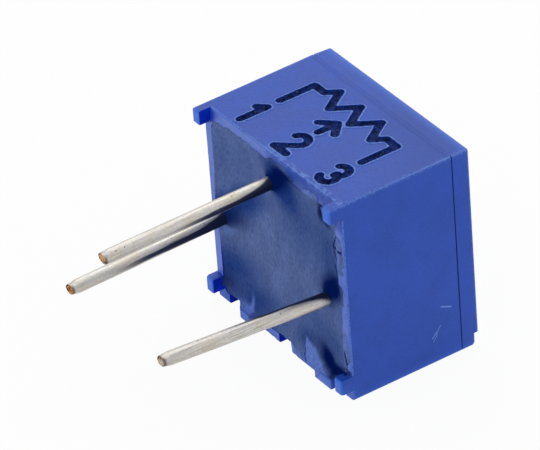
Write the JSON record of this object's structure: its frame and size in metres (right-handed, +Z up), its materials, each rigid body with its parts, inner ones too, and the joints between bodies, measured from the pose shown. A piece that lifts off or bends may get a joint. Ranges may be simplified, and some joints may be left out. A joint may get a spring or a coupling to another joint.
{
  "type": "trimmer potentiometer",
  "caption": "Small square blue plastic trimmer potentiometer: slotted round adjuster on one face, corner feet and straight wire leads on the potted face opposite.",
  "frame": {"origin": "where the rotor's axis meets the plane of the foot ends, on which a board lies", "axes": "+X along the rotor's axis towards the adjuster, leads along -X; +Z up, towards the marked side; the part lies on its -Z side"},
  "size_m": [0.0101, 0.0066, 0.0066],
  "materials": {
    "blue_plastic": "moulded blue, satin",
    "ivory_plastic": "moulded ivory, satin",
    "seal_rubber": "soft rubber, matte",
    "spring_alloy": "rolled spring alloy",
    "ceramic": "fired ceramic, matte",
    "resistance_film": "fired dark film",
    "conductor_film": "fired metal film",
    "tinned_wire": "tinned, drawn wire",
    "solder": "solder, satin",
    "potting": "cast slate-blue resin"
  },
  "bodies": {
    "base": {"housing": "blue_plastic", "seal_ring": "seal_rubber", "substrate": "ceramic", "resistance_track": "resistance_film", "collector_track": "conductor_film", "end_conductor_1": "conductor_film", "end_conductor_3": "conductor_film", "epoxy_seal": "potting", "lead_1": "tinned_wire", "lead_2": "tinned_wire", "lead_3": "tinned_wire", "solder_joint_1": "solder", "solder_joint_2": "solder", "solder_joint_3": "solder"},
    "adjuster": {"rotor": "ivory_plastic", "wiper_spring": "spring_alloy"}
  },
  "joints": [
    {"name": "rotor_turn", "type": "hinge", "parent": "base", "child": "adjuster", "pos_m": [0, 0, 0], "axis": [1, 0, 0], "range_deg": [-120, 120]}
  ]
}
